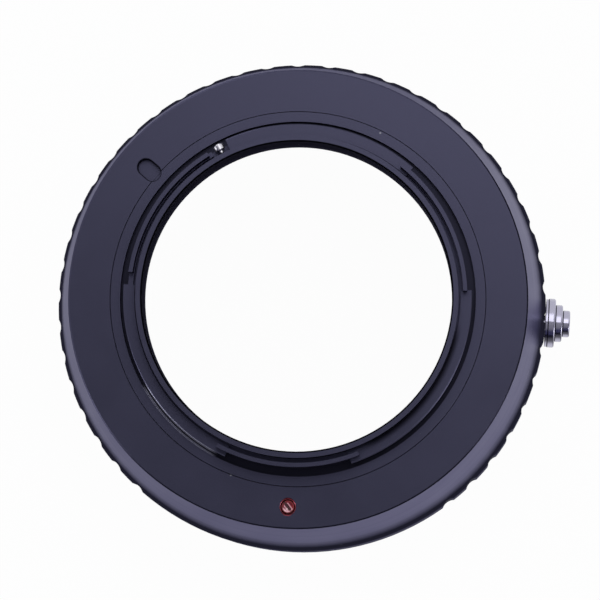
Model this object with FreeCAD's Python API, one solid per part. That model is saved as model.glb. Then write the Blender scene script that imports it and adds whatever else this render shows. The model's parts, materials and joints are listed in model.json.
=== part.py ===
"""Adapter ring that carries an SLR lens on a mirrorless camera body.

Millimetres. The origin is on the optical axis, in the plane of the camera seat.
+Z points to the camera, so the lens seat is below. The index mark is at -Y and
the release knob at +X.
"""
import FreeCAD, Part
import math
import os

os.makedirs("parts", exist_ok=True)
Vector = FreeCAD.Vector
AXIS_X = Vector(1, 0, 0)
AXIS_Z = Vector(0, 0, 1)
FULL_TURN = 360.0

# Seats
FLANGE_DISTANCE = 27.5
MOUNT_RING_THICKNESS = 2.5
MOUNT_RING_PROUD = 0.9

# Camera bayonet ring, from the bore outwards
BORE_R = 20.05
RIM_WALL = 0.82
GROOVE_WIDTH = 0.51
LUG_GROOVE_WIDTH = 0.27
BARREL_WALL = 0.64
COLLAR_WALL = 0.52
LUG_REACH = 0.6
RECESS_GAP = 0.53
RING_FLANGE_LAND = 1.33
PILOT_WALL = 1.45
RING_FLANGE_THICKNESS = 2.4
PILOT_LENGTH = 0.5
RECESS_DEPTH = 1.3
GROOVE_FLOOR = 1.0
COLLAR_HEIGHT = 4.2
RIM_HEIGHT = 4.7
RIM_CHAMFER = 0.15
SEAM_CHAMFER = 0.07
LUG_BOTTOM = 0.9
LUG_TOP = 2.1
LUG_CHAMFER = 0.12
LUG_ARCS = ((51.6, 120.8), (178.8, 248.8), (291.4, 365.6))
LUG_COUNT = len(LUG_ARCS)
COLLAR_SPAN = 49.7
COLLAR_FIRST_ANGLE = 30.0

# Outside of the body, from the ring outwards
FACE_LAND = 5.48
FACE_CHAMFER = 0.2
CONE_RISE = 2.17
CONE_DEPTH = 15.0
SHOULDER_RISE = 0.5
SHOULDER_DROP = 1.6
GRIP_CHAMFER = 0.5

# Flutes of the grip, with a smooth zone around the index
FLUTE_POSITIONS = 50
FLUTE_CUTTER_R = 1.6
FLUTE_DEPTH = 0.32
SMOOTH_POSITIONS = 10

# Inside of the body, from the grip inwards
MOUNT_RIM_WALL = 1.43
PIN_OUTER_WALL = 1.36
PIN_INNER_WALL = 1.05
MOUTH_STEP = 1.3
MOUTH_DEPTH = 4.0
MOUTH_TAPER = 1.0
FRONT_WALL = 2.0

# Stop screw on a radius, in a notch at the end of the first lug
STOP_PIN_R = 0.68
STOP_PIN_SHANK_R = 0.3
STOP_PIN_HEIGHT = 1.6
STOP_PIN_ANGLE = 120.8
STOP_PIN_INSET = 0.3
STOP_PIN_NECK = 0.75
STOP_PIN_PROUD = 0.48
STOP_PIN_CHAMFER = 0.15
STOP_PIN_MARGIN = 0.5

# Slot for the lock pin of the camera
LOCK_SLOT_OFFSET = 1.24
LOCK_SLOT_LENGTH = 3.34
LOCK_SLOT_WIDTH = 2.25
LOCK_SLOT_DEPTH = 1.2
LOCK_SLOT_ANGLE = 142.3

# Index screw in a countersunk hole
INDEX_OFFSET = 2.6
INDEX_ANGLE = -89.4
INDEX_HEAD_R = 0.82
INDEX_HEAD_HEIGHT = 0.8
INDEX_HEAD_GAP = 0.15
INDEX_DISH_R = 0.7
INDEX_DISH_DEPTH = 0.25
INDEX_SINK = 0.25
INDEX_CHAMFER = 0.12
INDEX_THREAD_R = 0.6
INDEX_THREAD_LENGTH = 2.6
INDEX_SLOT_ANGLE = 40.0

# Screws of the bayonet ring, driven from the cavity
RING_SCREW_COUNT = 4
RING_SCREW_FIRST_ANGLE = 30.0
RING_SCREW_INSET = 1.1
RING_SCREW_R = 0.6
RING_SCREW_GRIP = 0.8
RING_SCREW_HEAD_R = 1.15
RING_SCREW_HEAD_HEIGHT = 0.7

# Lens mount ring
MOUNT_RING_CHAMFER = 0.3
THROAT_LAND = 2.2
INNER_LUG_REACH = 1.4
INNER_LUG_THICKNESS = 1.3
INNER_LUG_SPAN = 58.0
INNER_LUG_FIRST_ANGLE = 30.0

# Countersunk screws of the lens mount ring
MOUNT_SCREW_COUNT = 5
MOUNT_SCREW_FIRST_ANGLE = 36.0
MOUNT_SCREW_R = 0.8
MOUNT_SCREW_HEAD_R = 1.5
MOUNT_SCREW_GRIP = 3.4

# Leaf springs behind the inner lugs
LEAF_GAP = 0.4
LEAF_WIDTH = 2.8
LEAF_THICKNESS = 0.25
LEAF_SPAN = 46.0
LEAF_CORNER = 0.7
LEAF_SCREW_INSET = 1.0
LEAF_SCREW_R = 0.4
LEAF_SCREW_GRIP = 0.9
LEAF_SCREW_HEAD_R = 0.75
LEAF_SCREW_HEAD_HEIGHT = 0.4

# Lens lock: pin, knob, washer and spring
LOCK_TRAVEL = 2.0
PIN_R = 1.5
PIN_LENGTH = 7.5
PIN_TIP_R = 1.0
PIN_TIP_PROUD = 1.5
PIN_TIP_CHAMFER = 0.25
KNOB_HEIGHT = 5.0
SHANK_R = 1.0
KNOB_THREAD_R = 0.6
KNOB_THREAD_LENGTH = 2.4
KNOB_STEP_RADII = (3.28, 2.48, 1.79)
KNOB_STEP_THICKNESS = 1.0
KNOB_ROUNDING = 0.25
KNOB_BACK_CHAMFER = 0.12
WASHER_R = 3.2
WASHER_THICKNESS = 0.25
WASHER_GAP = 0.06
SPRING_LENGTH = 5.5
SPRING_MEAN_R = 1.05
SPRING_WIRE_R = 0.18
SPRING_TURNS = 5
SPRING_WIRE_SIDES = 8

# Index dimple for the lens
DOT_R = 0.6
DOT_DEPTH = 0.5
DOT_SINK = 0.05
DOT_ABOVE_END = 2.6

# Screwdriver slots
SLOT_SHARE_OF_HEAD = 0.32
SLOT_DEPTH_SHARE = 0.5

# Clearances
SEAT_CLEARANCE = 0.03
THREAD_CLEARANCE = 0.02
RUNNING_CLEARANCE = 0.05
SLIDE_CLEARANCE = 0.1
PIN_STOP_GAP = 0.05
OVERCUT = 1.0

# Radii worked out from the sizes above
RIM_R = BORE_R + RIM_WALL
GROOVE_R = RIM_R + GROOVE_WIDTH
LUG_INNER_R = RIM_R + LUG_GROOVE_WIDTH
BARREL_R = GROOVE_R + BARREL_WALL
COLLAR_INNER_R = BARREL_R - COLLAR_WALL
LUG_R = BARREL_R + LUG_REACH
RECESS_R = LUG_R + RECESS_GAP
RING_FLANGE_R = RECESS_R + RING_FLANGE_LAND
PILOT_R = BORE_R + PILOT_WALL
FACE_R = RING_FLANGE_R + FACE_LAND
CONE_END_R = FACE_R + CONE_RISE
GRIP_R = CONE_END_R + SHOULDER_RISE
MOUNT_RING_R = GRIP_R - MOUNT_RIM_WALL
PIN_BORE_R = PIN_R + RUNNING_CLEARANCE
PIN_CIRCLE_R = GRIP_R - FLUTE_DEPTH - PIN_OUTER_WALL - PIN_BORE_R
MOUTH_R = PIN_CIRCLE_R - PIN_BORE_R - PIN_INNER_WALL
CAVITY_R = MOUTH_R - MOUTH_STEP
THROAT_R = MOUTH_R - THROAT_LAND
INNER_LUG_R = THROAT_R - INNER_LUG_REACH
LEAF_OUTER_R = MOUTH_R - LEAF_GAP
LEAF_INNER_R = LEAF_OUTER_R - LEAF_WIDTH
LOCK_SLOT_R = RING_FLANGE_R + LOCK_SLOT_OFFSET
INDEX_R = RING_FLANGE_R + INDEX_OFFSET
RING_SCREW_CIRCLE_R = RING_FLANGE_R - RING_SCREW_INSET
MOUNT_SCREW_CIRCLE_R = (MOUTH_R + MOUNT_RING_R) / 2
LEAF_SCREW_CIRCLE_R = THROAT_R + LEAF_SCREW_INSET

# Levels worked out from the sizes above
GRIP_TOP = CONE_DEPTH + SHOULDER_DROP
LENS_SEAT_Z = -FLANGE_DISTANCE
MOUNT_SEAT_Z = LENS_SEAT_Z + MOUNT_RING_THICKNESS
BODY_END_Z = LENS_SEAT_Z + MOUNT_RING_PROUD
RING_SEAT_Z = -RING_FLANGE_THICKNESS
FRONT_WALL_Z = RING_SEAT_Z - FRONT_WALL
PIN_SHOULDER_Z = MOUNT_SEAT_Z + PIN_STOP_GAP
PIN_TOP_Z = PIN_SHOULDER_Z + PIN_LENGTH
SPRING_TOP_Z = PIN_TOP_Z + SPRING_LENGTH
KNOB_Z = PIN_SHOULDER_Z + KNOB_HEIGHT
SHANK_START_X = PIN_CIRCLE_R + PIN_R
WASHER_X = GRIP_R + WASHER_GAP
KNOB_X = WASHER_X + WASHER_THICKNESS
STOP_NOTCH_HALF = math.degrees((STOP_PIN_R + STOP_PIN_MARGIN) / BARREL_R)
STOP_HEAD_START = RIM_R + STOP_PIN_NECK


def polygon_face(points):
    """Flat face in the XZ plane through (radius, z) points."""
    corners = [Vector(r, 0, z) for r, z in points]
    return Part.Face(Part.makePolygon(corners + corners[:1]))


def turned(points, start=0.0, span=FULL_TURN):
    """Solid of revolution about Z, over a span in degrees."""
    face = polygon_face(points)
    face.rotate(Vector(), AXIS_Z, start)
    return face.revolve(Vector(), AXIS_Z, span)


def upright(radius, z_low, z_high, circle_r=0.0, angle=0.0):
    """Cylinder parallel to Z, at an angle on a circle about the axis."""
    cylinder = Part.makeCylinder(radius, z_high - z_low, Vector(circle_r, 0, z_low))
    cylinder.rotate(Vector(), AXIS_Z, angle)
    return cylinder


def radial(radius, x_low, x_high, z, angle=0.0):
    """Cylinder on a radius, at a height z and an angle about the axis."""
    cylinder = Part.makeCylinder(radius, x_high - x_low, Vector(x_low, 0, z), AXIS_X)
    cylinder.rotate(Vector(), AXIS_Z, angle)
    return cylinder


def turned_by(shape, angle):
    """Copy of a shape turned about the axis."""
    copy = shape.copy()
    copy.rotate(Vector(), AXIS_Z, angle)
    return copy


def pattern_angles(first, count):
    return [first + FULL_TURN * k / count for k in range(count)]


def driver_slot(head_r, head_height, z_top, circle_r, points_up):
    """Box that cuts a screwdriver slot into a head, on +X before it is turned."""
    width = head_r * SLOT_SHARE_OF_HEAD
    depth = head_height * SLOT_DEPTH_SHARE
    length = 2 * (head_r + OVERCUT)
    low = z_top - depth if points_up else z_top - OVERCUT
    corner = Vector(circle_r - length / 2, -width / 2, low)
    return Part.makeBox(length, width, depth + OVERCUT, corner)


def lock_slot_cutter():
    """Radial slot with round ends for the lock pin of the camera."""
    half = LOCK_SLOT_LENGTH / 2 - LOCK_SLOT_WIDTH / 2
    low = -LOCK_SLOT_DEPTH
    height = LOCK_SLOT_DEPTH + OVERCUT
    box_corner = Vector(LOCK_SLOT_R - half, -LOCK_SLOT_WIDTH / 2, low)
    cutter = Part.makeBox(2 * half, LOCK_SLOT_WIDTH, height, box_corner)
    for centre_r in (LOCK_SLOT_R - half, LOCK_SLOT_R + half):
        cutter = cutter.fuse(upright(LOCK_SLOT_WIDTH / 2, low, low + height, centre_r))
    return turned_by(cutter.removeSplitter(), LOCK_SLOT_ANGLE)


def knob_slot_cutter():
    """Slot in the grip wall that lets the knob shank travel with the pin."""
    half_width = SHANK_R + SLIDE_CLEARANCE
    length = GRIP_R + OVERCUT - PIN_CIRCLE_R
    corner = Vector(PIN_CIRCLE_R, -half_width, KNOB_Z)
    cutter = Part.makeBox(length, 2 * half_width, LOCK_TRAVEL, corner)
    for z in (KNOB_Z, KNOB_Z + LOCK_TRAVEL):
        cutter = cutter.fuse(radial(half_width, PIN_CIRCLE_R, PIN_CIRCLE_R + length, z))
    return cutter.removeSplitter()


def flute_angles():
    """Flutes all round, apart from the smooth zone centred on the index."""
    pitch = FULL_TURN / FLUTE_POSITIONS
    first = INDEX_ANGLE + pitch * (SMOOTH_POSITIONS + 1) / 2
    return [first + pitch * k for k in range(FLUTE_POSITIONS - SMOOTH_POSITIONS)]


def body_blank():
    """Turned body: face, cone, convex shoulder, grip, lens seat and cavity."""
    arc_r = (SHOULDER_RISE ** 2 + SHOULDER_DROP ** 2) / (2 * SHOULDER_RISE)
    half_angle = math.atan2(SHOULDER_DROP, arc_r - SHOULDER_RISE) / 2
    arc_middle = (
        GRIP_R - arc_r + arc_r * math.cos(half_angle),
        -GRIP_TOP + arc_r * math.sin(half_angle),
    )
    mouth_top = MOUNT_SEAT_Z + MOUTH_DEPTH
    seat_r = MOUNT_RING_R + SEAT_CLEARANCE
    pocket_r = RING_FLANGE_R + SEAT_CLEARANCE
    pilot_r = PILOT_R + SEAT_CLEARANCE
    cone = [
        (pocket_r, 0),
        (FACE_R - FACE_CHAMFER, 0),
        (FACE_R, -FACE_CHAMFER),
        (CONE_END_R, -CONE_DEPTH),
    ]
    rest = [
        (GRIP_R, -GRIP_TOP),
        (GRIP_R, BODY_END_Z + GRIP_CHAMFER),
        (GRIP_R - GRIP_CHAMFER, BODY_END_Z),
        (seat_r, BODY_END_Z),
        (seat_r, MOUNT_SEAT_Z),
        (MOUTH_R, MOUNT_SEAT_Z),
        (MOUTH_R, mouth_top),
        (CAVITY_R, mouth_top + MOUTH_TAPER),
        (CAVITY_R, FRONT_WALL_Z),
        (pilot_r, FRONT_WALL_Z),
        (pilot_r, RING_SEAT_Z),
        (pocket_r, RING_SEAT_Z),
        (pocket_r, 0),
    ]
    start, middle, end = [Vector(r, 0, z) for r, z in (cone[-1], arc_middle, rest[0])]
    edges = Part.makePolygon([Vector(r, 0, z) for r, z in cone]).Edges
    edges.append(Part.Arc(start, middle, end).toShape())
    edges += Part.makePolygon([Vector(r, 0, z) for r, z in rest]).Edges
    return Part.Face(Part.Wire(edges)).revolve(Vector(), AXIS_Z, FULL_TURN)


def main_body():
    cutter_r = GRIP_R - FLUTE_DEPTH + FLUTE_CUTTER_R
    cutters = [
        upright(FLUTE_CUTTER_R, BODY_END_Z - OVERCUT, 0, cutter_r, angle) for angle in flute_angles()
    ]
    cutters.append(upright(PIN_BORE_R, MOUNT_SEAT_Z - OVERCUT, SPRING_TOP_Z, PIN_CIRCLE_R))
    cutters.append(knob_slot_cutter())
    cutters.append(lock_slot_cutter())

    head_bottom = -INDEX_SINK - INDEX_HEAD_HEIGHT
    hole_r = INDEX_HEAD_R + INDEX_HEAD_GAP
    cutters.append(upright(hole_r, head_bottom, OVERCUT, INDEX_R, INDEX_ANGLE))
    sink = Part.makeCone(hole_r, hole_r + INDEX_CHAMFER, INDEX_CHAMFER, Vector(INDEX_R, 0, -INDEX_CHAMFER))
    cutters.append(turned_by(sink, INDEX_ANGLE))
    thread_r = INDEX_THREAD_R + THREAD_CLEARANCE
    thread_end = head_bottom - INDEX_THREAD_LENGTH
    cutters.append(upright(thread_r, thread_end, 0, INDEX_R, INDEX_ANGLE))

    for angle in pattern_angles(RING_SCREW_FIRST_ANGLE, RING_SCREW_COUNT):
        hole_r = RING_SCREW_R + SEAT_CLEARANCE
        cutters.append(upright(hole_r, FRONT_WALL_Z - OVERCUT, 0, RING_SCREW_CIRCLE_R, angle))
    for angle in pattern_angles(MOUNT_SCREW_FIRST_ANGLE, MOUNT_SCREW_COUNT):
        hole_r = MOUNT_SCREW_R + THREAD_CLEARANCE
        hole_top = MOUNT_SEAT_Z + MOUNT_SCREW_GRIP
        cutters.append(upright(hole_r, MOUNT_SEAT_Z - OVERCUT, hole_top, MOUNT_SCREW_CIRCLE_R, angle))

    dot_z = BODY_END_Z + DOT_ABOVE_END
    dot_hole = radial(DOT_R + THREAD_CLEARANCE, GRIP_R - DOT_DEPTH, GRIP_R + OVERCUT, dot_z, INDEX_ANGLE)
    cutters.append(dot_hole)
    return body_blank().cut(cutters)


def camera_bayonet():
    """Male bayonet: flange let into the face, barrel with lugs and collars, and an inner rim."""
    tail_z = RING_SEAT_Z - PILOT_LENGTH
    ring = turned([
        (BORE_R, tail_z),
        (PILOT_R, tail_z),
        (PILOT_R, RING_SEAT_Z),
        (RING_FLANGE_R, RING_SEAT_Z),
        (RING_FLANGE_R, -SEAM_CHAMFER),
        (RING_FLANGE_R - SEAM_CHAMFER, 0),
        (RECESS_R, 0),
        (RECESS_R, -RECESS_DEPTH),
        (BARREL_R, -RECESS_DEPTH),
        (BARREL_R, LUG_TOP),
        (GROOVE_R, LUG_TOP),
        (GROOVE_R, GROOVE_FLOOR),
        (RIM_R, GROOVE_FLOOR),
        (RIM_R, RIM_HEIGHT),
        (BORE_R + RIM_CHAMFER, RIM_HEIGHT),
        (BORE_R, RIM_HEIGHT - RIM_CHAMFER),
    ])
    lug_profile = [
        (LUG_INNER_R, LUG_BOTTOM),
        (LUG_R, LUG_BOTTOM),
        (LUG_R, LUG_TOP - LUG_CHAMFER),
        (LUG_R - LUG_CHAMFER, LUG_TOP),
        (LUG_INNER_R, LUG_TOP),
    ]
    collar_profile = [
        (COLLAR_INNER_R, LUG_BOTTOM),
        (BARREL_R, LUG_BOTTOM),
        (BARREL_R, COLLAR_HEIGHT),
        (COLLAR_INNER_R, COLLAR_HEIGHT),
    ]
    sectors = [turned(lug_profile, start, end - start) for start, end in LUG_ARCS]
    for centre in pattern_angles(COLLAR_FIRST_ANGLE, LUG_COUNT):
        sectors.append(turned(collar_profile, centre - COLLAR_SPAN / 2, COLLAR_SPAN))
    ring = ring.fuse(sectors)

    cutters = [lock_slot_cutter()]
    notch_floor = STOP_PIN_HEIGHT - STOP_PIN_R - STOP_PIN_MARGIN
    notch_profile = [
        (RIM_R, notch_floor),
        (LUG_R, notch_floor),
        (LUG_R, COLLAR_HEIGHT),
        (RIM_R, COLLAR_HEIGHT),
    ]
    cutters.append(turned(notch_profile, STOP_PIN_ANGLE - STOP_NOTCH_HALF, 2 * STOP_NOTCH_HALF))
    shank_hole_r = STOP_PIN_SHANK_R + THREAD_CLEARANCE
    shank_start = BORE_R + STOP_PIN_INSET
    cutters.append(radial(shank_hole_r, shank_start, STOP_HEAD_START, STOP_PIN_HEIGHT, STOP_PIN_ANGLE))
    for angle in pattern_angles(RING_SCREW_FIRST_ANGLE, RING_SCREW_COUNT):
        hole_r = RING_SCREW_R + THREAD_CLEARANCE
        hole_top = RING_SEAT_Z + RING_SCREW_GRIP
        cutters.append(upright(hole_r, RING_SEAT_Z - OVERCUT, hole_top, RING_SCREW_CIRCLE_R, angle))
    return ring.cut(cutters).removeSplitter()


def stop_pin():
    """Headed screw on a radius, whose head stops the turn of the bayonet."""
    head = radial(STOP_PIN_R, STOP_HEAD_START, BARREL_R + STOP_PIN_PROUD, STOP_PIN_HEIGHT)
    rounds = [edge for edge in head.Edges if isinstance(edge.Curve, Part.Circle)]
    head = head.makeChamfer(STOP_PIN_CHAMFER, rounds)
    shank = radial(STOP_PIN_SHANK_R, BORE_R + STOP_PIN_INSET, STOP_HEAD_START, STOP_PIN_HEIGHT)
    return turned_by(head.fuse(shank), STOP_PIN_ANGLE)


def index_screw():
    """Slotted screw with a dished head that holds the paint."""
    top = -INDEX_SINK
    head_bottom = top - INDEX_HEAD_HEIGHT
    screw = upright(INDEX_HEAD_R, head_bottom, top, INDEX_R)
    screw = screw.fuse(upright(INDEX_THREAD_R, head_bottom - INDEX_THREAD_LENGTH, head_bottom, INDEX_R))
    dish = Part.makeCone(0, INDEX_DISH_R, INDEX_DISH_DEPTH, Vector(INDEX_R, 0, top - INDEX_DISH_DEPTH))
    slot = driver_slot(INDEX_HEAD_R, INDEX_HEAD_HEIGHT, top, INDEX_R, True)
    slot.rotate(Vector(INDEX_R, 0, 0), AXIS_Z, INDEX_SLOT_ANGLE)
    return turned_by(screw.cut([dish, slot]), INDEX_ANGLE)


def bayonet_ring_screws():
    """Cheese-head screws from the cavity, through the front wall into the ring flange."""
    tip = RING_SEAT_Z + RING_SCREW_GRIP
    head_z = FRONT_WALL_Z - RING_SCREW_HEAD_HEIGHT
    screw = upright(RING_SCREW_R, FRONT_WALL_Z, tip, RING_SCREW_CIRCLE_R)
    screw = screw.fuse(upright(RING_SCREW_HEAD_R, head_z, FRONT_WALL_Z, RING_SCREW_CIRCLE_R))
    slot = driver_slot(RING_SCREW_HEAD_R, RING_SCREW_HEAD_HEIGHT, head_z, RING_SCREW_CIRCLE_R, False)
    screw = screw.cut(slot)
    angles = pattern_angles(RING_SCREW_FIRST_ANGLE, RING_SCREW_COUNT)
    return Part.makeCompound([turned_by(screw, angle) for angle in angles])


def countersink(clearance):
    """Cone of a countersunk head in the lens seat, on +X before it is turned."""
    depth = MOUNT_SCREW_HEAD_R - MOUNT_SCREW_R
    base = Vector(MOUNT_SCREW_CIRCLE_R, 0, LENS_SEAT_Z)
    return Part.makeCone(MOUNT_SCREW_HEAD_R + clearance, MOUNT_SCREW_R + clearance, depth, base)


def lens_mount_ring():
    """Female bayonet: flat seat ring with three inner lugs at the lens side."""
    ring = turned([
        (THROAT_R, LENS_SEAT_Z),
        (MOUNT_RING_R - MOUNT_RING_CHAMFER, LENS_SEAT_Z),
        (MOUNT_RING_R, LENS_SEAT_Z + MOUNT_RING_CHAMFER),
        (MOUNT_RING_R, MOUNT_SEAT_Z),
        (THROAT_R, MOUNT_SEAT_Z),
    ])
    lug_top = LENS_SEAT_Z + INNER_LUG_THICKNESS
    lug_root = THROAT_R + INNER_LUG_THICKNESS
    lug_profile = [
        (INNER_LUG_R, LENS_SEAT_Z),
        (lug_root, LENS_SEAT_Z),
        (lug_root, lug_top),
        (INNER_LUG_R, lug_top),
    ]
    angles = pattern_angles(INNER_LUG_FIRST_ANGLE, LUG_COUNT)
    lugs = [turned(lug_profile, angle - INNER_LUG_SPAN / 2, INNER_LUG_SPAN) for angle in angles]
    ring = ring.fuse(lugs)

    tip_hole_r = PIN_TIP_R + RUNNING_CLEARANCE
    cutters = [upright(tip_hole_r, LENS_SEAT_Z - OVERCUT, MOUNT_SEAT_Z + OVERCUT, PIN_CIRCLE_R)]
    for angle in pattern_angles(MOUNT_SCREW_FIRST_ANGLE, MOUNT_SCREW_COUNT):
        hole_r = MOUNT_SCREW_R + SEAT_CLEARANCE
        hole = upright(hole_r, LENS_SEAT_Z - OVERCUT, MOUNT_SEAT_Z + OVERCUT, MOUNT_SCREW_CIRCLE_R)
        cutters.append(turned_by(hole.fuse(countersink(SEAT_CLEARANCE)), angle))
    for angle in angles:
        hole_r = LEAF_SCREW_R + THREAD_CLEARANCE
        hole_bottom = MOUNT_SEAT_Z - LEAF_SCREW_GRIP
        cutters.append(upright(hole_r, hole_bottom, MOUNT_SEAT_Z + OVERCUT, LEAF_SCREW_CIRCLE_R, angle))
    return ring.cut(cutters).removeSplitter()


def mount_ring_screws():
    """Countersunk screws, flush with the lens seat."""
    tip = MOUNT_SEAT_Z + MOUNT_SCREW_GRIP
    head_height = MOUNT_SCREW_HEAD_R - MOUNT_SCREW_R
    screw = countersink(0)
    screw = screw.fuse(upright(MOUNT_SCREW_R, LENS_SEAT_Z + head_height, tip, MOUNT_SCREW_CIRCLE_R))
    slot = driver_slot(MOUNT_SCREW_HEAD_R, head_height, LENS_SEAT_Z, MOUNT_SCREW_CIRCLE_R, False)
    screw = screw.cut(slot)
    angles = pattern_angles(MOUNT_SCREW_FIRST_ANGLE, MOUNT_SCREW_COUNT)
    return Part.makeCompound([turned_by(screw, angle) for angle in angles])


def leaf_spring(angle):
    """Curved strip of spring sheet, screwed to the back of the mount ring at its middle."""
    top = MOUNT_SEAT_Z + LEAF_THICKNESS
    strip = turned([
        (LEAF_INNER_R, MOUNT_SEAT_Z),
        (LEAF_OUTER_R, MOUNT_SEAT_Z),
        (LEAF_OUTER_R, top),
        (LEAF_INNER_R, top),
    ], -LEAF_SPAN / 2, LEAF_SPAN)
    corners = [edge for edge in strip.Edges if abs(edge.tangentAt(edge.FirstParameter).z) > 0.9]
    strip = strip.makeFillet(LEAF_CORNER, corners)
    hole_r = LEAF_SCREW_R + SEAT_CLEARANCE
    hole = upright(hole_r, MOUNT_SEAT_Z - OVERCUT, top + OVERCUT, LEAF_SCREW_CIRCLE_R)
    return turned_by(strip.cut(hole), angle)


def leaf_spring_screws():
    head_bottom = MOUNT_SEAT_Z + LEAF_THICKNESS
    head_top = head_bottom + LEAF_SCREW_HEAD_HEIGHT
    screw = upright(LEAF_SCREW_HEAD_R, head_bottom, head_top, LEAF_SCREW_CIRCLE_R)
    shaft = upright(LEAF_SCREW_R, MOUNT_SEAT_Z - LEAF_SCREW_GRIP, head_bottom, LEAF_SCREW_CIRCLE_R)
    slot = driver_slot(LEAF_SCREW_HEAD_R, LEAF_SCREW_HEAD_HEIGHT, head_top, LEAF_SCREW_CIRCLE_R, True)
    screw = screw.fuse(shaft).cut(slot)
    angles = pattern_angles(INNER_LUG_FIRST_ANGLE, LUG_COUNT)
    return Part.makeCompound([turned_by(screw, angle) for angle in angles])


def lock_pin():
    """Shouldered pin whose tip enters the lens flange."""
    tip_z = LENS_SEAT_Z - PIN_TIP_PROUD
    pin = turned([
        (0, tip_z),
        (PIN_TIP_R - PIN_TIP_CHAMFER, tip_z),
        (PIN_TIP_R, tip_z + PIN_TIP_CHAMFER),
        (PIN_TIP_R, PIN_SHOULDER_Z),
        (PIN_R, PIN_SHOULDER_Z),
        (PIN_R, PIN_TOP_Z),
        (0, PIN_TOP_Z),
    ])
    pin.translate(Vector(PIN_CIRCLE_R, 0, 0))
    hole_start = SHANK_START_X - KNOB_THREAD_LENGTH
    hole_r = KNOB_THREAD_R + THREAD_CLEARANCE
    return pin.cut(radial(hole_r, hole_start, SHANK_START_X + OVERCUT, KNOB_Z))


def release_knob():
    """Turned knob of three stepped discs on a shank that screws into the lock pin."""
    thread_start = SHANK_START_X - KNOB_THREAD_LENGTH
    edges = Part.makePolygon([
        Vector(thread_start, 0, 0),
        Vector(thread_start, 0, KNOB_THREAD_R),
        Vector(SHANK_START_X, 0, KNOB_THREAD_R),
        Vector(SHANK_START_X, 0, SHANK_R),
        Vector(KNOB_X, 0, SHANK_R),
        Vector(KNOB_X, 0, KNOB_STEP_RADII[0] - KNOB_BACK_CHAMFER),
    ]).Edges
    inner_rs = list(KNOB_STEP_RADII[1:]) + [0]
    for k, (step_r, next_r) in enumerate(zip(KNOB_STEP_RADII, inner_rs)):
        back = KNOB_X + k * KNOB_STEP_THICKNESS
        front = back + KNOB_STEP_THICKNESS
        corner = step_r - KNOB_BACK_CHAMFER
        shoulder = front - KNOB_ROUNDING
        bend = KNOB_ROUNDING * math.sqrt(0.5)
        edges += Part.makePolygon([
            Vector(back, 0, corner),
            Vector(back + KNOB_BACK_CHAMFER, 0, step_r),
            Vector(shoulder, 0, step_r),
        ]).Edges
        edges.append(Part.Arc(
            Vector(shoulder, 0, step_r),
            Vector(shoulder + bend, 0, step_r - KNOB_ROUNDING + bend),
            Vector(front, 0, step_r - KNOB_ROUNDING),
        ).toShape())
        next_corner = max(next_r - KNOB_BACK_CHAMFER, 0)
        edges.append(Part.makeLine(Vector(front, 0, step_r - KNOB_ROUNDING), Vector(front, 0, next_corner)))
    end_x = KNOB_X + len(KNOB_STEP_RADII) * KNOB_STEP_THICKNESS
    edges.append(Part.makeLine(Vector(end_x, 0, 0), Vector(thread_start, 0, 0)))
    knob = Part.Face(Part.Wire(edges)).revolve(Vector(), AXIS_X, FULL_TURN)
    knob.translate(Vector(0, 0, KNOB_Z))
    return knob


def knob_washer():
    disc = radial(WASHER_R, WASHER_X, KNOB_X, KNOB_Z)
    return disc.cut(radial(SHANK_R + SEAT_CLEARANCE, WASHER_X - OVERCUT, KNOB_X + OVERCUT, KNOB_Z))


def lock_spring():
    """Coil between the top of the lock pin and the blind end of its bore."""
    height = SPRING_LENGTH - 2 * SPRING_WIRE_R
    helix = Part.makeHelix(height / SPRING_TURNS, height, SPRING_MEAN_R)
    corners = []
    for side in range(SPRING_WIRE_SIDES):
        turn = 2 * math.pi * (side + 0.5) / SPRING_WIRE_SIDES
        corner_r = SPRING_MEAN_R + SPRING_WIRE_R * math.cos(turn)
        corners.append(Vector(corner_r, 0, SPRING_WIRE_R * math.sin(turn)))
    section = Part.makePolygon(corners + corners[:1])
    coil = Part.Wire(helix).makePipeShell([section], True, True)
    coil.translate(Vector(PIN_CIRCLE_R, 0, PIN_TOP_Z + SPRING_WIRE_R))
    return coil


def lens_index_dot():
    """Paint in the dimple that marks where the lens goes on."""
    dot_z = BODY_END_Z + DOT_ABOVE_END
    return radial(DOT_R, GRIP_R - DOT_DEPTH, GRIP_R - DOT_SINK, dot_z, INDEX_ANGLE)


pieces = {
    "main_body": main_body(),
    "camera_bayonet": camera_bayonet(),
    "stop_pin": stop_pin(),
    "index_screw": index_screw(),
    "bayonet_ring_screws": bayonet_ring_screws(),
    "lens_mount_ring": lens_mount_ring(),
    "mount_ring_screws": mount_ring_screws(),
    "leaf_spring_screws": leaf_spring_screws(),
    "lock_pin": lock_pin(),
    "release_knob": release_knob(),
    "knob_washer": knob_washer(),
    "lock_spring": lock_spring(),
    "lens_index_dot": lens_index_dot(),
}
for number, angle in enumerate(pattern_angles(INNER_LUG_FIRST_ANGLE, LUG_COUNT), start=1):
    pieces[f"leaf_spring_{number}"] = leaf_spring(angle)

for name, shape in pieces.items():
    shape.exportStep(f"parts/{name}.step")
    print(name, len(shape.Solids), "solids, volume", round(shape.Volume, 2), "valid", shape.isValid())
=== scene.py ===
"""Looks of the lens mount adapter: camera, studio light and one material for each finish.

The scene is in metres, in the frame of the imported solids: the camera seat faces +Z, the index mark is
at -Y and the release knob at +X. The materials work in millimetres, in names that end in _MM. A pair of
numbers holds the two marks between which a mask changes. A name that ends in _SIDE is an angle round the
optical axis from +X, and one that ends in _STRETCH or _SPREAD holds cosines of the angle from that side.
A name that ends in _SHADE is a factor on a colour.
"""

import json
import math
from types import SimpleNamespace

import bpy
from mathutils import Matrix, Vector


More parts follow.
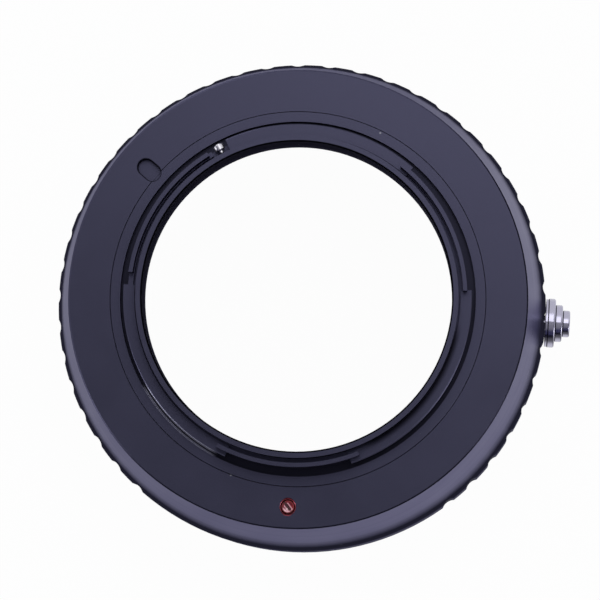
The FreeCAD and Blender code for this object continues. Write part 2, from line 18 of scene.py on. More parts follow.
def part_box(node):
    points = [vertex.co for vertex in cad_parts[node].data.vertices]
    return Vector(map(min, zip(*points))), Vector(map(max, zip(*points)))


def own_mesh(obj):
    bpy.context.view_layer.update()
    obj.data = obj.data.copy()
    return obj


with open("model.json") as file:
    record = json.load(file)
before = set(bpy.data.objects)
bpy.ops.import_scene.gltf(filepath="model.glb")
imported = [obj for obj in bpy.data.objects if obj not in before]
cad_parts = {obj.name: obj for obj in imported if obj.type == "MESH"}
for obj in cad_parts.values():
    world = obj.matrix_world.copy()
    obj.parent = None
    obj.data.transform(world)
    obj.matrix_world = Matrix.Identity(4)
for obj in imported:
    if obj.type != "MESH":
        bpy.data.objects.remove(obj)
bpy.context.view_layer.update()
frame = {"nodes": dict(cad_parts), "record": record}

# Sizes read from the frame
MM = 0.001
PER_MM = 1 / MM
MOUNTS = {mount["name"]: mount for mount in frame["record"]["mounts"]}
INDEX_LOW, INDEX_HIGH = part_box("index_screw")
INDEX_CENTRE_MM = (INDEX_LOW + INDEX_HIGH) / 2 * PER_MM
INDEX_HEAD_R_MM = (INDEX_HIGH.x - INDEX_LOW.x) / 2 * PER_MM
KNOB_END_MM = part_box("release_knob")[1].x * PER_MM
RIM_TOP_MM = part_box("camera_bayonet")[1].z * PER_MM
GRIP_R_MM = -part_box("main_body")[0].x * PER_MM
BORE_R_MM = MOUNTS["light_bore"]["dims"]["r_mm"]
LOCK_SLOT_MM = Vector(MOUNTS["camera_lock_slot"]["pos_m"]) * PER_MM
FLOOR_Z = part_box("lock_pin")[0].z

# Camera: nearly straight down on the camera seat
IMAGE_PIXELS = 600
SENSOR_MM = 36.0
CLIP_START = 0.01
VIEW_DISTANCE = 0.560
PIXELS_PER_METRE = 7690.0
VIEW_TILT = math.radians(4.50)
VIEW_TILT_TOWARDS = math.radians(-62.0)
VIEW_ROLL = math.radians(3.35)
SEAT_CENTRE_PIXEL = (297.25, 298.11)

# Colours
WHITE = (1, 1, 1, 1)
BLACK = (0.050, 0.0495, 0.082)
LOW_ANGLE_TINT = (0.54, 0.53, 0.70, 1)
MATT_BLACK = (0.004, 0.004, 0.005, 1)
DUST_GREY = (0.24, 0.24, 0.27, 1)
GLINT_GREY = (0.35, 0.35, 0.45, 1)
SMEAR_RED = (0.05, 0.006, 0.009, 1)
SMEAR_HIGHLIGHT_RED = (0.28, 0.06, 0.08, 1)
CHAMFER_RED = (0.34, 0.07, 0.09, 1)
GAP_SHADE_RED = (0.05, 0.002, 0.003, 1)
ENAMEL_RED = (0.26, 0.010, 0.016)
GLINT_PINK = (0.82, 0.38, 0.44, 1)
SLOT_SHADE_RED = (0.09, 0.003, 0.008, 1)
STEEL = (0.62, 0.61, 0.66)
KNOB_CHROME = (0.43, 0.42, 0.53)
MOUNT_CHROME = (0.74, 0.74, 0.77)
BRONZE = (0.62, 0.42, 0.22)
SPRING_STEEL = (0.48, 0.48, 0.50)
SCREW_BLACK = (0.05, 0.05, 0.055)

# Anodised finish: clouds, grain, roughness, dust, and the matt black inside of body and bayonet
CLOUD_LOW_SHADE = 0.86
CLOUD_HIGH_SHADE = 1.14
GRAIN_MARKS = (0.3, 0.75)
GRAIN_SHARE = 0.25
GRAIN_SHADE = 1.6
GRAIN_HEIGHT = 0.5
ANODISED_ROUGHNESS = 0.28
ROUGHNESS_CHANGE = 0.10
DUST_PER_MM = 0.28
DUST_SPECK = (0.028, 0.045)
DUST_CHOSEN = (0.62, 0.66)
CAVITY_R_MM = 27.5
CAVITY_TOP_MM = -1.7
BORE_INSIDE_R_MM = BORE_R_MM + 0.14
BORE_TOP_MM = RIM_TOP_MM + 0.1
MATT_BLUR_MM = 0.1

# Body: painted shade, as dark lines along the edge of the face and round the lock slot
LINE_SHADE = 0.2
FACE_R_MM = 30.0
FACE_EDGE_MM = 1.0
FACE_SKIN_MM = (-0.01, -0.002)
FACE_BEVEL_MM = 0.2
BEVEL_END_MM = (-FACE_BEVEL_MM - 0.04, -FACE_BEVEL_MM + 0.04)
EDGE_SHADE_TOWARDS = (0.7, -0.7, 0)
EDGE_SHADE_MM = (-10.0, 8.0)
SLOT_LENGTH_MM = 3.34
SLOT_WIDTH_MM = 2.25
SLOT_LINE_MM = (0.05, 0.12)

# Body: side wall and grip, with painted shade on the shoulder and in the grip's flute grooves
SIDE_WALL_MM = (FACE_R_MM - 0.3, FACE_R_MM - 0.1)
SMOOTH_SIDE = math.radians(-10)
SMOOTH_SPREAD = (-0.2, 1.0)
SMOOTHER_BY = 0.08
ROUGH_SIDE = math.radians(105)
ROUGH_SPREAD = (0.2, 1.0)
ROUGHER_BY = 0.14
GRIP_LEVEL_MM = -14.9
GRIP_WALL_MM = (GRIP_LEVEL_MM - 1.6, GRIP_LEVEL_MM - 0.8)
SHOULDER_SHADE_MM = (GRIP_LEVEL_MM - 2.0, GRIP_LEVEL_MM + 6.0)
FLUTE_MM = (GRIP_R_MM - 0.28, GRIP_R_MM - 0.08)
FLUTE_SHADE = 0.25
SHOULDER_METAL = 0.04
GRIP_METAL = 0.15

# Body: paint round the index screw, with a painted highlight on the smear's front and painted shade in the
# gap round the head
SMEAR_SCALE = (1.15, 1, 0)
SMEAR_WOBBLE_MM = 0.12
SMEAR_R_MM = INDEX_HEAD_R_MM + 0.47
SMEAR_EDGE_MM = (SMEAR_R_MM - 0.08, SMEAR_R_MM)
SMEAR_FRONT_MM = (INDEX_CENTRE_MM.y - 1.1, INDEX_CENTRE_MM.y - 0.8)
CHAMFER_MM = (-0.03, -0.005)
GAP_MM = (-0.16, -0.13)

# Index screw: painted highlights on its head and painted shade in its slot, from the head's centre or from
# the side of its slot
HEAD_SLOT_ANGLE = math.radians(-49.4)
HEAD_SLOT_HALF_MM = 0.19
HEAD_SLOT_MM = (0.0, 0.04)
HEAD_BANK_MM = (0.14, 0.20)
HEAD_FLAT_MM = (0.50, 0.58)
HEAD_RIM_FROM_MM = (0.46, 0.52)
HEAD_RIM_TO_MM = (0.66, 0.72)
HEAD_FRONT_MM = (-0.25, -0.10)

# Enamel and blackened steel: where the one is thick and the other worn
ENAMEL_THICK = (0.3, 0.7)
ENAMEL_THIN_SHADE = 0.55
STEEL_WORN = (0.4, 0.8)
STEEL_WORN_SHADE = 2.4
STEEL_ROUGH = (0.2, 0.8)

# Bayonet: painted shade in the recess behind the lugs and over one lug, and two painted highlight lines in
# the recess
RECESS_MM = (-0.6, -0.3)
RECESS_R_MM = 23.2
RECESS_SHADE = 0.40
RECESS_MIDDLE_MM = 22.88
RECESS_GLINT_SIDE = math.radians(229)
RECESS_GLINT_STRETCH = (0.955, 0.972)
RECESS_GLINT_FROM_MM = (0.04, 0.14)
RECESS_GLINT_TO_MM = (0.26, 0.34)
LUG_SHADOW_SIDE = math.radians(325)
LUG_SHADOW_STRETCH = (0.86, 0.93)
LUG_SHADOW_R_MM = (21.1, 21.85)
LUG_SHADOW_TOP_MM = 3.0
LUG_SHADOW_SHARE = 0.8
LUG_SHADOW_SHADE = 0.1

# Bare metals: tool lines and smudges; on the knob, painted shade in the grooves and a painted dark
# reflection along one side; painted shade on the stop screw's neck
TOOL_LOW_SHADE = 0.90
TOOL_HIGH_SHADE = 1.06
SMUDGE_LEAST = 0.75
SMUDGE_CHANGE = 0.5
GROOVE_MM = (0.10, 0.18)
GROOVE_SHADE = 0.15
REFLECTION_BAND_FROM_LEAN = (-0.93, -0.75)
REFLECTION_BAND_TO_LEAN = (-0.58, -0.50)
REFLECTION_BAND_SHADE = 0.2
STOP_NECK_R_MM = 21.4
NECK_SHADE_BLUR_MM = 0.1
NECK_SHADE = 0.12

# Studio
FLOOR_SIZE = 6.0
FLOOR_COLOUR = (0.82, 0.82, 0.84, 1)
FLOOR_GLOW = 0.97
FILL_COLOUR = (0.96, 0.96, 1.0, 1)
FILL_STRENGTH = 0.55
WALL_DARK = (0.05, 0.05, 0.12, 1)
WALL_TURN = (-0.20, 0.50)
WALL_FOOT = (0.10, 0.22)
CEILING = (0.36, 0.36, 0.38, 1)
CEILING_EDGE = (0.72, 0.88)
KEY_PLACE = (0.039, 0.129, 0.30)
KEY_TARGET = (0, 0, 0)
KEY_SIZE = 0.20
KEY_POWER = 0.25
SIDE_LAMPS = {"left": -150, "right": -25, "back": 118}
SIDE_DISTANCE = 0.42
SIDE_HEIGHT = 0.07
SIDE_TARGET = (0, 0, -0.01)
SIDE_SIZE = 0.13
SIDE_POWER = 0.28


def add(tree, kind, inputs=None, **settings):
    """New shader node with its settings, and a value or a link for each named input."""
    node = tree.nodes.new("ShaderNode" + kind)
    for name, value in settings.items():
        setattr(node, name, value)
    for name, value in (inputs or {}).items():
        if isinstance(value, bpy.types.NodeSocket):
            tree.links.new(value, node.inputs[name])
        else:
            node.inputs[name].default_value = value
    return node


def maths(tree, operation, first, second=0.0):
    """Output of one Math node."""
    return add(tree, "Math", {0: first, 1: second}, operation=operation).outputs[0]


def times(tree, first, *others):
    """Product of two or more values."""
    for other in others:
        first = maths(tree, "MULTIPLY", first, other)
    return first


def plus(tree, first, *others):
    """Sum of two or more values."""
    for other in others:
        first = maths(tree, "ADD", first, other)
    return first


def vector_maths(tree, operation, first, second):
    """One Vector Math node, whose output is a vector or a value."""
    return add(tree, "VectorMath", {0: first, 1: second}, operation=operation)


def dot(tree, vector, direction):
    """Length of a vector along a direction."""
    return vector_maths(tree, "DOT_PRODUCT", vector, direction).outputs["Value"]


def offset(tree, place, centre):
    """Vector from a centre to a place."""
    return vector_maths(tree, "SUBTRACT", place, centre).outputs[0]


def split(tree, vector):
    """The three parts of a vector, by the names X, Y and Z."""
    return add(tree, "SeparateXYZ", {0: vector}).outputs


def ramp(tree, value, marks, to_low=0.0, to_high=1.0):
    """Smooth change of a value from to_low to to_high between two marks."""
    low, high = marks
    inputs = {"Value": value, "From Min": low, "From Max": high, "To Min": to_low, "To Max": to_high}
    return add(tree, "MapRange", inputs, interpolation_type="SMOOTHSTEP").outputs[0]


def fall(tree, value, marks):
    """1 up to the first mark and 0 from the second, as a mask."""
    return ramp(tree, value, marks, 1.0, 0.0)


def band(tree, value, rise_marks, fall_marks):
    """1 from the end of one pair of marks to the start of another, as a mask."""
    return times(tree, ramp(tree, value, rise_marks), fall(tree, value, fall_marks))


def mixed(tree, factor, first, second):
    """Colour between two colours."""
    inputs = {"Factor": factor, 6: first, 7: second}
    return add(tree, "Mix", inputs, data_type="RGBA").outputs[2]


def shade(colour, factor=1.0):
    """A colour made darker or lighter by a factor, with its alpha."""
    return [min(part * factor, 1) for part in colour] + [1]


def noise(tree, place, scale, detail=2.0, roughness=0.5):
    """Noise in space."""
    inputs = {"Vector": place, "Scale": scale, "Detail": detail, "Roughness": roughness}
    return add(tree, "TexNoise", inputs).outputs["Fac"]


def line_noise(tree, along, scale):
    """Noise along one number, for lines left by a tool."""
    inputs = {"W": along, "Scale": scale, "Detail": 3.0}
    return add(tree, "TexNoise", inputs, noise_dimensions="1D").outputs["Fac"]


def empty_tree(owner):
    """Node tree of a material or a world, without its first nodes."""
    owner.use_nodes = True
    owner.node_tree.nodes.clear()
    return owner.node_tree


def new_material(name):
    """New material with its tree and its Principled shader."""
    material = bpy.data.materials.new(name)
    tree = empty_tree(material)
    shader = add(tree, "BsdfPrincipled")
    output = add(tree, "OutputMaterial", {"Surface": shader.outputs[0]})
    output.is_active_output = True
    return material, tree, shader


def set_constant(shader, **values):
    """Same value all over the surface, on the shader's own sockets."""
    for name, value in values.items():
        shader.inputs[name.replace("_", " ")].default_value = value


def set_linked(tree, shader, **sockets):
    """Value that changes over the surface, linked to the shader's sockets."""
    for name, socket in sockets.items():
        tree.links.new(socket, shader.inputs[name.replace("_", " ")])


def bumped(tree, shader, height, strength, depth_mm):
    """Fine relief from a height."""
    bump = add(tree, "Bump", {"Height": height, "Strength": strength, "Distance": depth_mm * MM})
    set_linked(tree, shader, Normal=bump.outputs[0])


def place_mm(tree):
    """Place on the piece in millimetres."""
    coordinates = add(tree, "TexCoord").outputs["Object"]
    return add(tree, "VectorMath", {0: coordinates, "Scale": PER_MM}, operation="SCALE").outputs[0]


def distance_mm(tree, place, centre=(0, 0, 0), scale=(1, 1, 0)):
    """Distance from a centre, with a scale for each axis. By default, height doesn't count."""
    scaled = vector_maths(tree, "MULTIPLY", offset(tree, place, centre), scale).outputs[0]
    return add(tree, "VectorMath", {0: scaled}, operation="LENGTH").outputs["Value"]


def dust(tree, place):
    """Sparse pale specks, as a mask."""
    cells = add(tree, "TexVoronoi", {"Vector": place, "Scale": DUST_PER_MM})
    speck = fall(tree, cells.outputs["Distance"], DUST_SPECK)
    chosen = add(tree, "SeparateColor", {0: cells.outputs["Color"]}).outputs[0]
    return times(tree, speck, ramp(tree, chosen, DUST_CHOSEN))


def anodised(name, inside_r_mm, inside_top_mm):
    """Satin black anodised aluminium, turned, and matt black inside a radius below a level.

    Its colour and roughness aren't linked yet, so that a piece can add its own marks.
    """
    material, tree, shader = new_material(name)
    place = place_mm(tree)
    parts = split(tree, place)
    radius = distance_mm(tree, place)

    clouds = noise(tree, place, scale=0.12, detail=3.0)
    grain = noise(tree, place, scale=9.0, roughness=0.6)
    rings = line_noise(tree, radius, scale=7.0)
    inside = fall(tree, radius, (inside_r_mm, inside_r_mm + MATT_BLUR_MM))
    below = fall(tree, parts["Z"], (inside_top_mm - MATT_BLUR_MM / 2, inside_top_mm + MATT_BLUR_MM / 2))
    matt = times(tree, inside, below)

    colour = mixed(tree, clouds, shade(BLACK, CLOUD_LOW_SHADE), shade(BLACK, CLOUD_HIGH_SHADE))
    grainy = ramp(tree, grain, GRAIN_MARKS, to_high=GRAIN_SHARE)
    colour = mixed(tree, grainy, colour, shade(BLACK, GRAIN_SHADE))
    colour = mixed(tree, matt, colour, MATT_BLACK)
    colour = mixed(tree, dust(tree, place), colour, DUST_GREY)

    uneven = times(tree, clouds, ROUGHNESS_CHANGE)
    lined = times(tree, rings, ROUGHNESS_CHANGE)
    roughness = plus(tree, uneven, lined, ANODISED_ROUGHNESS)
    roughness = maths(tree, "MAXIMUM", roughness, matt)

    set_constant(shader, Specular_Tint=LOW_ANGLE_TINT)
    relief = plus(tree, times(tree, grain, GRAIN_HEIGHT), rings)
    bumped(tree, shader, relief, strength=0.25, depth_mm=0.01)
    return SimpleNamespace(
        material=material, tree=tree, shader=shader, colour=colour, roughness=roughness,
        place=place, y=parts["Y"], z=parts["Z"], radius=radius,
    )


def facing(skin, side):
    """Cosine of the angle round the optical axis between a place and a side of the part."""
    along = dot(skin.tree, skin.place, (math.cos(side), math.sin(side), 0))
    return maths(skin.tree, "DIVIDE", along, skin.radius)


def slot_edge_shade(skin):
    """Painted shade: a narrow dark line round the edge of the lock slot, as a mask."""
    tree = skin.tree
    outward = LOCK_SLOT_MM.normalized()
    sideways = Vector((-outward.y, outward.x, 0))
    from_slot = offset(tree, skin.place, LOCK_SLOT_MM)
    along = maths(tree, "ABSOLUTE", dot(tree, from_slot, outward))
    across = dot(tree, from_slot, sideways)
    past = maths(tree, "SUBTRACT", along, (SLOT_LENGTH_MM - SLOT_WIDTH_MM) / 2)
    past = maths(tree, "MAXIMUM", past, 0.0)
    squares = plus(tree, times(tree, past, past), times(tree, across, across))
    away = maths(tree, "SUBTRACT", maths(tree, "SQRT", squares), SLOT_WIDTH_MM / 2)
    return fall(tree, maths(tree, "ABSOLUTE", away), SLOT_LINE_MM)


def face_edge_shade(skin):
    """Painted shade: a dark line along the edge of the face, fading out towards the side of the lock slot,
    as a mask.
    """
    tree = skin.tree
    edge = maths(tree, "GREATER_THAN", skin.radius, FACE_R_MM - FACE_EDGE_MM)
    bevel = band(tree, skin.z, BEVEL_END_MM, FACE_SKIN_MM)
    shade_side = ramp(tree, dot(tree, skin.place, EDGE_SHADE_TOWARDS), EDGE_SHADE_MM)
    return times(tree, edge, bevel, shade_side)


def index_paint(skin):
    """Red paint round the index screw's head: a dark smear with a painted highlight on its front, the
    chamfer, and painted shade in the gap, as a mask and a colour.
    """
    tree = skin.tree
    wobble = times(tree, noise(tree, skin.place, scale=1.6), SMEAR_WOBBLE_MM)
    from_index = distance_mm(tree, skin.place, INDEX_CENTRE_MM, SMEAR_SCALE)
    near = fall(tree, plus(tree, from_index, wobble), SMEAR_EDGE_MM)
    # Painted highlight: the smear is lighter red on its front side, towards -Y
    paint = mixed(tree, fall(tree, skin.y, SMEAR_FRONT_MM), SMEAR_RED, SMEAR_HIGHLIGHT_RED)
    paint = mixed(tree, fall(tree, skin.z, CHAMFER_MM), paint, CHAMFER_RED)
    # Painted shade: darker red deep in the gap round the head
    paint = mixed(tree, fall(tree, skin.z, GAP_MM), paint, GAP_SHADE_RED)
    return near, paint


def side_roughness(skin):
    """Roughness with the side wall smoother towards the knob and rougher on the far side."""
    tree = skin.tree
    smooth = ramp(tree, facing(skin, SMOOTH_SIDE), SMOOTH_SPREAD, to_high=SMOOTHER_BY)
    rough = ramp(tree, facing(skin, ROUGH_SIDE), ROUGH_SPREAD, to_high=ROUGHER_BY)
    change = maths(tree, "SUBTRACT", rough, smooth)
    return plus(tree, skin.roughness, times(tree, ramp(tree, skin.radius, SIDE_WALL_MM), change))


def body_finish(name):
    """Anodised body, with index paint and painted shade: dark edge lines, a darker shoulder and dark flute
    grooves.
    """
    skin = anodised(name, CAVITY_R_MM, CAVITY_TOP_MM)
    tree = skin.tree
    near, paint = index_paint(skin)
    colour = mixed(tree, near, skin.colour, paint)
    # Painted shade: dark lines along the face's edge and round the lock slot
    lines = maths(tree, "MAXIMUM", slot_edge_shade(skin), face_edge_shade(skin))
    colour = mixed(tree, lines, colour, shade(BLACK, LINE_SHADE))

    # Painted shade: the shoulder darkens towards the grip, and the flute grooves are dark between the
    # ridges
    wall = fall(tree, skin.z, GRIP_WALL_MM)
    shoulder = maths(tree, "MAXIMUM", fall(tree, skin.z, SHOULDER_SHADE_MM), wall)
    ridge = times(tree, wall, ramp(tree, skin.radius, FLUTE_MM))
    shaded = mixed(tree, ridge, shade(BLACK, FLUTE_SHADE), colour)
    colour = mixed(tree, shoulder, colour, shaded)
    metal = maths(tree, "SUBTRACT", 1.0, times(tree, shoulder, 1 - SHOULDER_METAL))
    metal = plus(tree, metal, times(tree, wall, GRIP_METAL - SHOULDER_METAL))

    set_linked(tree, skin.shader, Base_Color=colour, Roughness=side_roughness(skin), Metallic=metal)
    set_constant(skin.shader, Specular_IOR_Level=0.0)
    return skin.material


def recess_glints(skin):
    """Two painted highlight lines along a stretch of the recess behind the lugs, as a mask."""
    tree = skin.tree
    stretch = ramp(tree, facing(skin, RECESS_GLINT_SIDE), RECESS_GLINT_STRETCH)
    from_middle = maths(tree, "ABSOLUTE", maths(tree, "SUBTRACT", skin.radius, RECESS_MIDDLE_MM))
    return times(tree, stretch, band(tree, from_middle, RECESS_GLINT_FROM_MM, RECESS_GLINT_TO_MM))


def painted_lug_shade(skin):
    """Painted shade that runs out of the groove over one lug, as a mask."""
    tree = skin.tree
    stretch = ramp(tree, facing(skin, LUG_SHADOW_SIDE), LUG_SHADOW_STRETCH)
    spread = fall(tree, skin.radius, LUG_SHADOW_R_MM)
    return times(tree, stretch, spread, maths(tree, "LESS_THAN", skin.z, LUG_SHADOW_TOP_MM), LUG_SHADOW_SHARE)


def bayonet_finish(name):
    """Anodised bayonet ring, with painted shade round the lock slot, in the recess behind the lugs and
    over one lug, and two painted highlight lines in the recess.
    """
    skin = anodised(name, BORE_INSIDE_R_MM, BORE_TOP_MM)
    tree = skin.tree
    # Painted shade in the recess behind the lugs
    recess = times(tree, fall(tree, skin.z, RECESS_MM), maths(tree, "LESS_THAN", skin.radius, RECESS_R_MM))
    # Painted shade: a dark line round the lock slot
    colour = mixed(tree, slot_edge_shade(skin), skin.colour, shade(BLACK, LINE_SHADE))
    colour = mixed(tree, recess, colour, shade(BLACK, RECESS_SHADE))
    # Painted shade over one lug, next to the rim
    colour = mixed(tree, painted_lug_shade(skin), colour, shade(BLACK, LUG_SHADOW_SHADE))
    # Painted highlights: two pale lines in the recess
    colour = mixed(tree, recess_glints(skin), colour, GLINT_GREY)
    set_linked(tree, skin.shader, Base_Color=colour, Roughness=skin.roughness)
    set_constant(skin.shader, Metallic=1.0)
    return skin.material


def dark_reflection_band(tree):
    """Painted dark reflection: a band along the knob's side that faces the index, towards -Y, as a mask.
    """
    normal = add(tree, "NewGeometry").outputs["Normal"]
    return band(tree, split(tree, normal)["Y"], REFLECTION_BAND_FROM_LEAN, REFLECTION_BAND_TO_LEAN)


def bare_metal(name, colour, roughness, line_scale, turned, grooves_from=None, oily_within=None):
    """Bare metal with fine tool lines along X or Z, or along the radius R.

    If asked for, it has painted shade in grooves 1 mm apart along X and a painted dark reflection band,
    or painted shade near the optical axis.
    """
    material, tree, shader = new_material(name)
    place = place_mm(tree)
    parts = split(tree, place)
    radius = distance_mm(tree, place)
    lines = line_noise(tree, radius if turned == "R" else parts[turned], line_scale)
    smudges = noise(tree, place, scale=0.5, detail=3.0)

    tint = mixed(tree, lines, shade(colour, TOOL_LOW_SHADE), shade(colour, TOOL_HIGH_SHADE))
    if grooves_from is not None:
        # Painted shade in the knob's grooves and a painted dark reflection along one side
        step = maths(tree, "FRACT", maths(tree, "SUBTRACT", parts["X"], grooves_from))
        tint = mixed(tree, dark_reflection_band(tree), tint, shade(colour, REFLECTION_BAND_SHADE))
        tint = mixed(tree, fall(tree, step, GROOVE_MM), tint, shade(colour, GROOVE_SHADE))
    if oily_within is not None:
        # Painted shade on the stop screw's neck, near the optical axis
        oily = fall(tree, radius, (oily_within - NECK_SHADE_BLUR_MM, oily_within))
        tint = mixed(tree, oily, tint, shade(colour, NECK_SHADE))
    smudged = plus(tree, times(tree, smudges, roughness * SMUDGE_CHANGE), roughness * SMUDGE_LEAST)
    set_linked(tree, shader, Base_Color=tint, Roughness=smudged)
    set_constant(shader, Metallic=1.0)
    bumped(tree, shader, lines, strength=0.12, depth_mm=0.01)
    return material


def head_glints_and_slot_shade(tree, place):
    """Painted highlights along the index screw's slot and front edge, and painted shade in the slot, as
    two masks.
    """
    across_slot = (-math.sin(HEAD_SLOT_ANGLE), math.cos(HEAD_SLOT_ANGLE), 0)
    on_head = offset(tree, place, INDEX_CENTRE_MM)
    across = maths(tree, "ABSOLUTE", dot(tree, on_head, across_slot))
    from_slot = maths(tree, "SUBTRACT", across, HEAD_SLOT_HALF_MM)
    from_centre = distance_mm(tree, place, INDEX_CENTRE_MM)
    flat = fall(tree, from_centre, HEAD_FLAT_MM)
    banks = times(tree, fall(tree, from_slot, HEAD_BANK_MM), flat)
    front = fall(tree, split(tree, on_head)["Y"], HEAD_FRONT_MM)
    rim = times(tree, band(tree, from_centre, HEAD_RIM_FROM_MM, HEAD_RIM_TO_MM), front)
    slot = times(tree, fall(tree, from_slot, HEAD_SLOT_MM), flat)
    return maths(tree, "MAXIMUM", banks, rim), slot


def enamel(name, colour):
    """Red enamel brushed into a recess, thin and darker in places, with painted highlights and painted
    slot shade on the index screw.
    """
    material, tree, shader = new_material(name)
    place = place_mm(tree)
    thick = ramp(tree, noise(tree, place, scale=2.2, detail=3.0), ENAMEL_THICK)
    glints, slot = head_glints_and_slot_shade(tree, place)
    tint = mixed(tree, thick, shade(colour, ENAMEL_THIN_SHADE), shade(colour))
    # Painted highlights on the index screw's head, and painted shade in its slot
    tint = mixed(tree, glints, tint, GLINT_PINK)
    tint = mixed(tree, slot, tint, SLOT_SHADE_RED)
    set_linked(tree, shader, Base_Color=tint)
    set_constant(shader, Roughness=0.22, Coat_Weight=0.6, Coat_Roughness=0.1)
    bumped(tree, shader, noise(tree, place, scale=5.0), strength=0.3, depth_mm=0.02)
    return material


def dark_steel(name, colour):
    """Blackened screw steel with a worn grain."""
    material, tree, shader = new_material(name)
    grain = noise(tree, place_mm(tree), scale=6.0, detail=3.0)
    tint = mixed(tree, ramp(tree, grain, STEEL_WORN), shade(colour), shade(colour, STEEL_WORN_SHADE))
    roughness = ramp(tree, grain, STEEL_ROUGH, to_low=0.35, to_high=0.55)
    set_linked(tree, shader, Base_Color=tint, Roughness=roughness)
    set_constant(shader, Metallic=0.7)
    bumped(tree, shader, grain, strength=0.2, depth_mm=0.01)
    return material


def dress(slot, finish, *values, **options):
    """Make the material of a slot in the record, and give it to every node of that slot."""
    material = finish(slot, *values, **options)
    for row in frame["record"]["subparts"]:
        if row["material_slot"] == slot:
            mesh = frame["nodes"][row["node"]].data
            if not mesh.materials:
                mesh.materials.append(material)
            for number in range(len(mesh.materials)):
                mesh.materials[number] = material


def make_materials():
    """One material for each slot; bare metals have colour, roughness, scale and axis of the tool lines."""
    dress("black_anodised", body_finish)
    dress("black_bayonet", bayonet_finish)
    dress("bright_steel", bare_metal, STEEL, 0.36, 9.0, "Z", oily_within=STOP_NECK_R_MM)
    dress("knob_chrome", bare_metal, KNOB_CHROME, 0.25, 6.0, "X", grooves_from=KNOB_END_MM)
    dress("mount_chrome", bare_metal, MOUNT_CHROME, 0.30, 7.0, "R")
    dress("spring_bronze", bare_metal, BRONZE, 0.34, 5.0, "X")
    dress("spring_steel", bare_metal, SPRING_STEEL, 0.35, 8.0, "Z")
    dress("dark_screw_steel", dark_steel, SCREW_BLACK)
    dress("red_paint", enamel, ENAMEL_RED)


def compress_spring():
    """Give the lock spring a mesh of its own; nothing here shortens it."""
    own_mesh(frame["nodes"]["lock_spring"])


def background_factor(tree):
    """1 for the rays that should see a white studio: camera, glossy and transmission rays."""
    path = add(tree, "LightPath")
    seen = maths(tree, "MAXIMUM", path.outputs["Is Camera Ray"], path.outputs["Is Glossy Ray"])
    return maths(tree, "MAXIMUM", seen, path.outputs["Is Transmission Ray"])


def make_floor():
    """Pale floor that is nearly white to the camera and keeps a trace of the shadow."""
    mesh = bpy.data.meshes.new("floor")
    half = FLOOR_SIZE / 2
    corners = [(-half, -half), (half, -half), (half, half), (-half, half)]
    mesh.from_pydata([(x, y, FLOOR_Z) for x, y in corners], [], [(0, 1, 2, 3)])
    floor = bpy.data.objects.new("floor", mesh)
    bpy.context.scene.collection.objects.link(floor)
    material = bpy.data.materials.new("floor")
    tree = empty_tree(material)
    paper = add(tree, "BsdfDiffuse", {"Color": FLOOR_COLOUR})
    glow = add(tree, "Emission", {"Color": WHITE, "Strength": 1.0})
    share = times(tree, background_factor(tree), FLOOR_GLOW)
    both = add(tree, "MixShader", {0: share, 1: paper.outputs[0], 2: glow.outputs[0]})
    add(tree, "OutputMaterial", {"Surface": both.outputs[0]})
    mesh.materials.append(material)


def studio_walls(tree):
    """White to the camera; metal also sees the dim walls and the ceiling over the white horizon."""
    direction = split(tree, add(tree, "TexCoord").outputs["Generated"])
    wall = mixed(tree, ramp(tree, direction["Y"], WALL_TURN), WALL_DARK, WHITE)
    room = mixed(tree, ramp(tree, direction["Z"], WALL_FOOT), WHITE, wall)
    room = mixed(tree, ramp(tree, direction["Z"], CEILING_EDGE), room, CEILING)
    glossy = add(tree, "LightPath").outputs["Is Glossy Ray"]
    return mixed(tree, glossy, WHITE, room)


def make_world():
    """Studio round the part, with a soft fill for the rays that light it."""
    world = bpy.data.worlds.new("studio")
    tree = empty_tree(world)
    bpy.context.scene.world = world
    fill = add(tree, "Background", {"Color": FILL_COLOUR, "Strength": FILL_STRENGTH})
    white = add(tree, "Background", {"Color": studio_walls(tree), "Strength": 1.0})
    both = add(tree, "MixShader", {0: background_factor(tree), 1: fill.outputs[0], 2: white.outputs[0]})
    add(tree, "OutputWorld", {"Surface": both.outputs[0]})


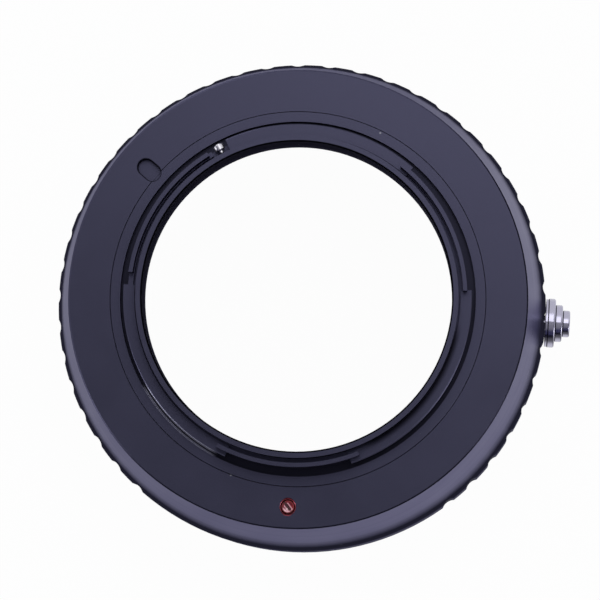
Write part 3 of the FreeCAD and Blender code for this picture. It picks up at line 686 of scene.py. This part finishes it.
def softbox(name, place, target, size, power):
    """Square area lamp that points at a target."""
    lamp = bpy.data.lights.new(name, "AREA")
    lamp.shape = "SQUARE"
    lamp.size = size
    lamp.energy = power
    holder = bpy.data.objects.new(name, lamp)
    holder.location = place
    holder.rotation_euler = (Vector(target) - Vector(place)).to_track_quat("-Z", "Y").to_euler()
    holder.visible_camera = False
    bpy.context.scene.collection.objects.link(holder)


def make_lights():
    """Key lamp over the part and a ring of low side lamps."""
    softbox("key", KEY_PLACE, KEY_TARGET, KEY_SIZE, KEY_POWER)
    for name, degrees in SIDE_LAMPS.items():
        angle = math.radians(degrees)
        place = (SIDE_DISTANCE * math.cos(angle), SIDE_DISTANCE * math.sin(angle), SIDE_HEIGHT)
        softbox(name, place, SIDE_TARGET, SIDE_SIZE, SIDE_POWER)


def make_camera():
    """Camera on the side of the index and knob, turned so that the image's up is just off +Y."""
    up = Vector((-math.sin(VIEW_ROLL), math.cos(VIEW_ROLL), 0))
    right = Vector((math.cos(VIEW_ROLL), math.sin(VIEW_ROLL), 0))
    lean = Vector((math.cos(VIEW_TILT_TOWARDS), math.sin(VIEW_TILT_TOWARDS), 0)) * math.sin(VIEW_TILT)
    back = (lean + Vector((0, 0, math.cos(VIEW_TILT)))).normalized()
    middle = (IMAGE_PIXELS - 1) / 2
    aim = right * (middle - SEAT_CENTRE_PIXEL[0]) - up * (middle - SEAT_CENTRE_PIXEL[1])
    aim /= PIXELS_PER_METRE

    camera = bpy.data.cameras.new("camera")
    camera.sensor_width = SENSOR_MM
    camera.lens = PIXELS_PER_METRE * VIEW_DISTANCE / IMAGE_PIXELS * SENSOR_MM
    camera.clip_start = CLIP_START
    holder = bpy.data.objects.new("camera", camera)
    side = up.cross(back).normalized()
    level = back.cross(side)
    turn = Matrix((side, level, back)).transposed().to_4x4()
    holder.matrix_world = Matrix.Translation(aim + back * VIEW_DISTANCE) @ turn
    bpy.context.scene.collection.objects.link(holder)
    bpy.context.scene.camera = holder


make_materials()
compress_spring()
make_floor()
make_world()
make_lights()
make_camera()
bpy.context.scene.view_settings.view_transform = "Standard"
